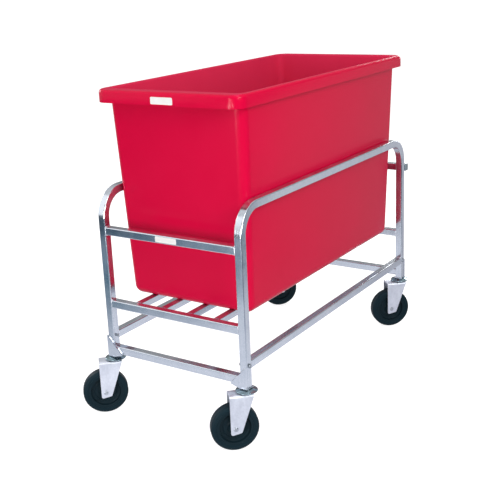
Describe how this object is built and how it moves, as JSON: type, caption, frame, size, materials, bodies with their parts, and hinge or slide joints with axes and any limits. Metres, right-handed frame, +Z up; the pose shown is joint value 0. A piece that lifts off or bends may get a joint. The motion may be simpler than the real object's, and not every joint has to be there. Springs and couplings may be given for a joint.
{
  "type": "bulk mover",
  "caption": "Bakery bulk mover: an open tapered plastic tub with a turned-down rim, standing on the slatted deck of a square-tube steel cart with a push rail and swivel casters.",
  "frame": {"origin": "on the floor in the middle of the four wheels, which all trail the same way at rest", "axes": "+X along the cart towards the push rail, +Y across it, +Z up"},
  "size_m": [1.069, 0.5478, 0.9111],
  "materials": {
    "frame_tube": "bright zinc plate",
    "tub_plastic": "satin moulded red",
    "tyre_rubber": "matt black",
    "wheel_core": "moulded black",
    "fork_steel": "bright zinc plate",
    "race_steel": "dark zinc plate",
    "bearing_steel": "ground steel",
    "fastener_steel": "zinc plate",
    "plug_plastic": "moulded grey"
  },
  "bodies": {
    "frame": {"cross_bolts": "fastener_steel", "cross_nuts": "fastener_steel", "deck_end_rail_front": "frame_tube", "deck_end_rail_rear": "frame_tube", "deck_slat_1": "frame_tube", "deck_slat_2": "frame_tube", "deck_slat_3": "frame_tube", "deck_slat_4": "frame_tube", "foot_gusset_front_left": "frame_tube", "foot_gusset_front_right": "frame_tube", "foot_gusset_rear_left": "frame_tube", "foot_gusset_rear_right": "frame_tube", "kingpin_front_left": "bearing_steel", "kingpin_front_right": "bearing_steel", "kingpin_rear_left": "bearing_steel", "kingpin_rear_right": "bearing_steel", "lower_end_rail_front": "frame_tube", "lower_end_rail_rear": "frame_tube", "lower_side_rail_left": "frame_tube", "lower_side_rail_right": "frame_tube", "push_rail": "frame_tube", "push_rail_plugs": "plug_plastic", "side_frame_left": "frame_tube", "side_frame_right": "frame_tube", "stem_socket_front_left": "fastener_steel", "stem_socket_front_right": "fastener_steel", "stem_socket_rear_left": "fastener_steel", "stem_socket_rear_right": "fastener_steel", "swivel_balls": "bearing_steel", "upper_end_rail": "frame_tube", "upper_race_front_left": "race_steel", "upper_race_front_right": "race_steel", "upper_race_rear_left": "race_steel", "upper_race_rear_right": "race_steel"},
    "tub": {"tub": "tub_plastic"},
    "caster_front_left": {"lower_race_front_left": "race_steel", "fork_front_left": "fork_steel", "axle_rivet_front_left": "fork_steel", "axle_bushing_front_left": "bearing_steel"},
    "wheel_front_left": {"wheel_core_front_left": "wheel_core", "tyre_front_left": "tyre_rubber"},
    "caster_front_right": {"lower_race_front_right": "race_steel", "fork_front_right": "fork_steel", "axle_rivet_front_right": "fork_steel", "axle_bushing_front_right": "bearing_steel"},
    "wheel_front_right": {"wheel_core_front_right": "wheel_core", "tyre_front_right": "tyre_rubber"},
    "caster_rear_left": {"lower_race_rear_left": "race_steel", "fork_rear_left": "fork_steel", "axle_rivet_rear_left": "fork_steel", "axle_bushing_rear_left": "bearing_steel"},
    "wheel_rear_left": {"wheel_core_rear_left": "wheel_core", "tyre_rear_left": "tyre_rubber"},
    "caster_rear_right": {"lower_race_rear_right": "race_steel", "fork_rear_right": "fork_steel", "axle_rivet_rear_right": "fork_steel", "axle_bushing_rear_right": "bearing_steel"},
    "wheel_rear_right": {"wheel_core_rear_right": "wheel_core", "tyre_rear_right": "tyre_rubber"}
  },
  "joints": [
    {"name": "tub_lift", "type": "slide", "parent": "frame", "child": "tub", "axis": [0, 0, 1], "range_m": [0, 0.34]},
    {"name": "swivel_front_left", "type": "hinge", "parent": "frame", "child": "caster_front_left", "pos_m": [-0.45399, -0.24544, 0.156], "axis": [0, 0, 1], "continuous": true},
    {"name": "roll_front_left", "type": "hinge", "parent": "caster_front_left", "child": "wheel_front_left", "pos_m": [-0.479, -0.21955, 0.0635], "axis": [-0.7193, -0.6947, 0], "continuous": true},
    {"name": "swivel_front_right", "type": "hinge", "parent": "frame", "child": "caster_front_right", "pos_m": [-0.45399, 0.19365, 0.156], "axis": [0, 0, 1], "continuous": true},
    {"name": "roll_front_right", "type": "hinge", "parent": "caster_front_right", "child": "wheel_front_right", "pos_m": [-0.479, 0.21955, 0.0635], "axis": [-0.7193, -0.6947, 0], "continuous": true},
    {"name": "swivel_rear_left", "type": "hinge", "parent": "frame", "child": "caster_rear_left", "pos_m": [0.50401, -0.24544, 0.156], "axis": [0, 0, 1], "continuous": true},
    {"name": "roll_rear_left", "type": "hinge", "parent": "caster_rear_left", "child": "wheel_rear_left", "pos_m": [0.479, -0.21955, 0.0635], "axis": [-0.7193, -0.6947, 0], "continuous": true},
    {"name": "swivel_rear_right", "type": "hinge", "parent": "frame", "child": "caster_rear_right", "pos_m": [0.50401, 0.19365, 0.156], "axis": [0, 0, 1], "continuous": true},
    {"name": "roll_rear_right", "type": "hinge", "parent": "caster_rear_right", "child": "wheel_rear_right", "pos_m": [0.479, 0.21955, 0.0635], "axis": [-0.7193, -0.6947, 0], "continuous": true}
  ]
}
